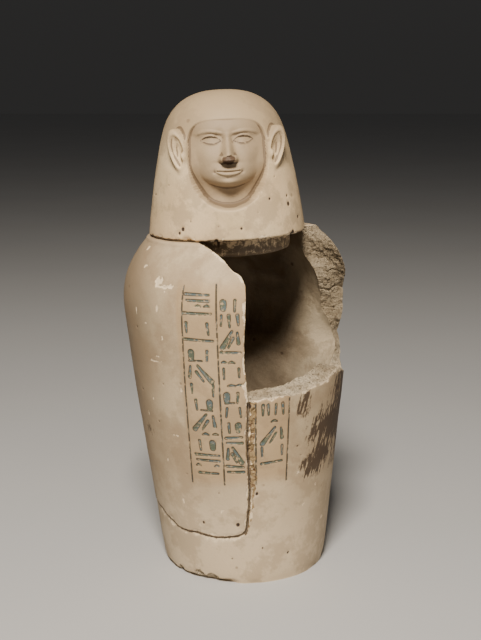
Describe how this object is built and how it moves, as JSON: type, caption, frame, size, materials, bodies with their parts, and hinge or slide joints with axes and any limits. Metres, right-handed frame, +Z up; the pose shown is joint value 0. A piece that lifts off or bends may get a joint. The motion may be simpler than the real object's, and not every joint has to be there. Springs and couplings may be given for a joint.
{
  "type": "canopic jar",
  "caption": "Broken hollow stone canopic jar with a sherd fitted back and a loose lid carved as a human head in a plain wig.",
  "frame": {"origin": "centre of the flat underside", "axes": "+Z up, -Y the way the carved face looks, +X to the right as seen from the front"},
  "size_m": [0.1734, 0.1759, 0.3704],
  "materials": {
    "jar_stone": "dry matt limestone, soiled, with one dark stain and granular broken faces",
    "sherd_stone": "dry matt limestone with shallow strokes filled with blue-green paint",
    "lid_stone": "smooth warm cream limestone, slightly polished by handling"
  },
  "bodies": {
    "root": {"jar_body": "jar_stone", "jar_fragment": "sherd_stone", "lid": "lid_stone"}
  },
  "joints": []
}
